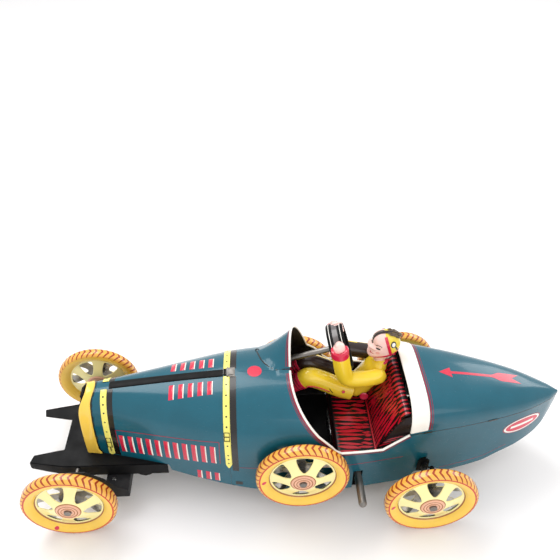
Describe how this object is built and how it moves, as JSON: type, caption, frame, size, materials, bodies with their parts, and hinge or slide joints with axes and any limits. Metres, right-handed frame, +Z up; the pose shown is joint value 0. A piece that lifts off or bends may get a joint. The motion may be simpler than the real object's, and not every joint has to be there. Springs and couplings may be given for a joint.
{
  "type": "clockwork tin racing car",
  "caption": "Clockwork tin racing car with a driver, steering front axle, side-mounted spare wheels, winding arbor and a geared spring motor under the seat.",
  "frame": {"origin": "on the floor under the middle of the car's bounding box", "axes": "-X forwards, -Y to the driver's left where the winding arbor is, +Z up"},
  "size_m": [0.4816, 0.1796, 0.1499],
  "materials": {
    "body_paint": "glossy printed teal enamel on tin",
    "radiator_paint": "glossy yellow enamel on tin",
    "core_mesh": "black pressed honeycomb",
    "strap_paint": "pale yellow print with black dots",
    "frame_black": "semi-gloss black enamel, worn at the edges",
    "bright_clip": "bright nickel plate",
    "seat_print": "black and red printed stripes on tin",
    "dull_steel": "dull grey steel",
    "wheel_rim_black": "gloss black enamel with grey print",
    "suit_print": "glossy yellow print with red trim",
    "face_print": null,
    "bright_steel": "bright rolled steel",
    "gear_brass": "stamped brass",
    "spring_steel": "blued spring steel",
    "wheel_print": "printed yellow tyre with chevron tread and pale disc",
    "bare_tin": "bare tinplate"
  },
  "bodies": {
    "car": {"chassis_frame": "frame_black", "floor_pan": "frame_black", "radiator_shell": "radiator_paint", "radiator_core": "core_mesh", "bonnet_shell": "body_paint", "bonnet_hinge": "frame_black", "bonnet_clip": "bright_clip", "front_strap": "strap_paint", "rear_strap": "strap_paint", "scuttle_shell": "body_paint", "left_side_panel": "body_paint", "right_side_panel": "body_paint", "tail_deck": "body_paint", "bulkhead": "frame_black", "seat_cushion": "seat_print", "seat_back": "seat_print", "steering_column": "dull_steel", "steering_wheel": "wheel_rim_black", "driver_torso": "suit_print", "driver_legs": "suit_print", "driver_left_arm": "suit_print", "driver_right_arm": "suit_print", "driver_head": "face_print", "steering_pivot": "bright_steel", "rear_axle_brackets": "frame_black", "left_spare_stud": "bright_steel", "right_spare_stud": "bright_steel", "left_motor_plate": "bright_steel", "right_motor_plate": "bright_steel", "motor_pillars": "bright_steel", "mainspring": "spring_steel"},
    "front_beam": {"steering_bracket": "dull_steel", "front_axle": "bright_steel"},
    "front_left_wheel": {"front_left_wheel_face": "wheel_print", "front_left_wheel_back": "bare_tin"},
    "front_right_wheel": {"front_right_wheel_face": "wheel_print", "front_right_wheel_back": "bare_tin"},
    "rear_wheels": {"rear_axle": "bright_steel", "axle_pinion": "gear_brass", "rear_left_wheel_face": "wheel_print", "rear_left_wheel_back": "bare_tin", "rear_right_wheel_face": "wheel_print", "rear_right_wheel_back": "bare_tin"},
    "spare_left_wheel": {"spare_left_wheel_face": "wheel_print", "spare_left_wheel_back": "bare_tin"},
    "spare_right_wheel": {"spare_right_wheel_face": "wheel_print", "spare_right_wheel_back": "bare_tin"},
    "winding": {"winding_arbor": "dull_steel", "great_wheel": "gear_brass", "ratchet_wheel": "gear_brass"},
    "click": {"click": "dull_steel"},
    "second": {"second_arbor": "bright_steel", "second_wheel": "gear_brass"},
    "third": {"third_arbor": "bright_steel", "third_wheel": "gear_brass"},
    "governor": {"governor": "bright_steel"},
    "stop_lever": {"stop_lever": "dull_steel"}
  },
  "joints": [
    {"name": "front_steer", "type": "hinge", "parent": "car", "child": "front_beam", "pos_m": [-0.16425, 0, 0.03], "axis": [0, 0, 1], "range_deg": [-6, 6]},
    {"name": "front_left_spin", "type": "hinge", "parent": "front_beam", "child": "front_left_wheel", "pos_m": [-0.19725, -0.0706, 0.04], "axis": [0, 1, 0], "continuous": true},
    {"name": "front_right_spin", "type": "hinge", "parent": "front_beam", "child": "front_right_wheel", "pos_m": [-0.19725, 0.0706, 0.04], "axis": [0, 1, 0], "continuous": true},
    {"name": "rear_axle_spin", "type": "hinge", "parent": "car", "child": "rear_wheels", "pos_m": [0.10975, 0, 0.04], "axis": [0, 1, 0], "continuous": true},
    {"name": "spare_left_spin", "type": "hinge", "parent": "car", "child": "spare_left_wheel", "pos_m": [0.00075, -0.0638, 0.0566], "axis": [0, 1, 0], "continuous": true},
    {"name": "spare_right_spin", "type": "hinge", "parent": "car", "child": "spare_right_wheel", "pos_m": [0.00075, 0.0638, 0.0566], "axis": [0, 1, 0], "continuous": true},
    {"name": "third_spin", "type": "hinge", "parent": "car", "child": "third", "pos_m": [0.08895, 0, 0.04], "axis": [0, 1, 0], "continuous": true},
    {"name": "second_spin", "type": "hinge", "parent": "car", "child": "second", "pos_m": [0.07084, 0, 0.04638], "axis": [0, 1, 0], "continuous": true},
    {"name": "winding_spin", "type": "hinge", "parent": "car", "child": "winding", "pos_m": [0.05075, 0, 0.041], "axis": [0, 1, 0], "continuous": true},
    {"name": "governor_spin", "type": "hinge", "parent": "car", "child": "governor", "pos_m": [0.09895, 0, 0.05732], "axis": [0, 1, 0], "continuous": true},
    {"name": "click_swing", "type": "hinge", "parent": "winding", "child": "click", "pos_m": [0.03891, 0.0018, 0.03669], "axis": [0, 1, 0], "range_deg": [0, 10], "stiffness_Nm_per_rad": 0.002},
    {"name": "stop_lever_swing", "type": "hinge", "parent": "car", "child": "stop_lever", "pos_m": [0.10975, -0.05, 0.0465], "axis": [0, 1, 0], "range_deg": [-20, 20]}
  ],
  "couplings": [
    {"joint": "third_spin", "follows": "rear_axle_spin", "ratio": -0.3},
    {"joint": "second_spin", "follows": "rear_axle_spin", "ratio": 0.1},
    {"joint": "winding_spin", "follows": "rear_axle_spin", "ratio": -0.03},
    {"joint": "governor_spin", "follows": "rear_axle_spin", "ratio": 1.2}
  ]
}
